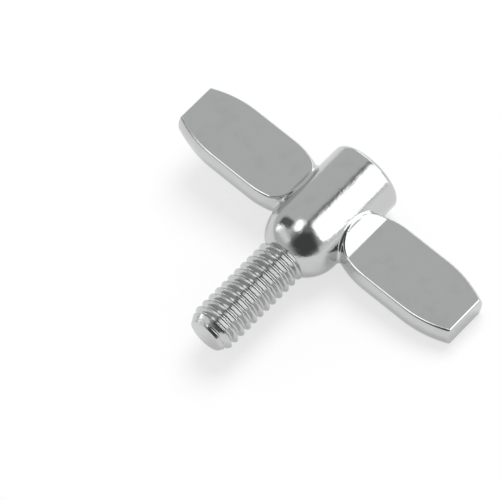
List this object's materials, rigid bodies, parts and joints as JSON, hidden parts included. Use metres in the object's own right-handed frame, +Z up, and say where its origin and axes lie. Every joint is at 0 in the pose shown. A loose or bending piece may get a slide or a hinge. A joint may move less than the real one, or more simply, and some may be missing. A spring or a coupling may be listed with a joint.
{
  "type": "wing screw",
  "caption": "Hand-turned screw with a threaded stud, a domed hub and two flat wings, cast and cut in one piece and plated bright.",
  "frame": {"origin": "middle of the footprint on the surface the screw lies on, straight below the screw's axis and half way along it", "axes": "+Z up from the surface; the screw's axis runs along Y, with the threaded stud towards -Y and the hub's plain end towards +Y; +X is towards the wing whose tip touches the surface"},
  "size_m": [0.0548, 0.0368, 0.0125],
  "materials": {
    "plated_metal": "polished"
  },
  "bodies": {
    "root": {"wing_screw": "plated_metal"}
  },
  "joints": []
}
